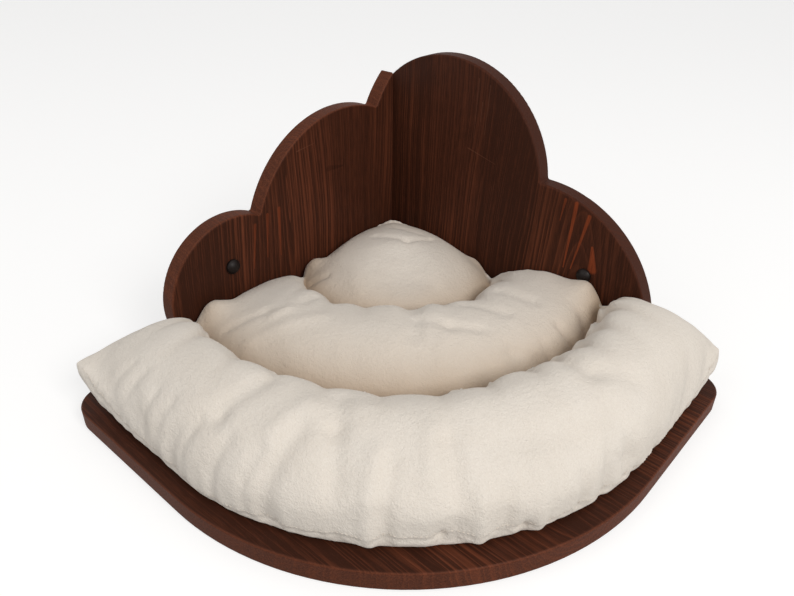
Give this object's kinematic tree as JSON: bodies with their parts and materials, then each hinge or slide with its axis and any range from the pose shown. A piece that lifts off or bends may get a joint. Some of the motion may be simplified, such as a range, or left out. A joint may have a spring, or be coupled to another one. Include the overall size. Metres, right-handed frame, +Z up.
{
  "type": "corner cat bed",
  "caption": "Wall-mounted corner cat bed: a rounded wooden shelf, cloud-shaped side boards against both walls and a loose quilted cushion sewn into lobes.",
  "frame": {"origin": "on the line where the two walls meet, level with the shelf's underside", "axes": "+X along the right wall, -Y along the left wall, +Z up"},
  "size_m": [0.458, 0.458, 0.2665],
  "materials": {
    "shelf_wood": "dark stained softwood, satin",
    "board_wood": "dark stained softwood, satin",
    "screw_steel": "zinc plated",
    "dowel_beech": "raw beech",
    "cap_plastic": "dark brown, matt",
    "cushion_fabric": "cream brushed cotton"
  },
  "bodies": {
    "shelf": {"base_shelf": "shelf_wood", "right_side_board": "board_wood", "left_side_board": "board_wood", "right_board_screws": "screw_steel", "left_board_screws": "screw_steel", "corner_screws": "screw_steel", "right_board_dowels": "dowel_beech", "left_board_dowels": "dowel_beech", "right_wall_screw": "screw_steel", "left_wall_screw": "screw_steel", "right_cup_washer": "cap_plastic", "left_cup_washer": "cap_plastic", "right_screw_cap": "cap_plastic", "left_screw_cap": "cap_plastic"},
    "cushion": {"cushion": "cushion_fabric"}
  },
  "joints": [
    {"name": "cushion_lift", "type": "slide", "parent": "shelf", "child": "cushion", "axis": [0.5, -0.5, 0.7071], "range_m": [0, 0.38]}
  ]
}
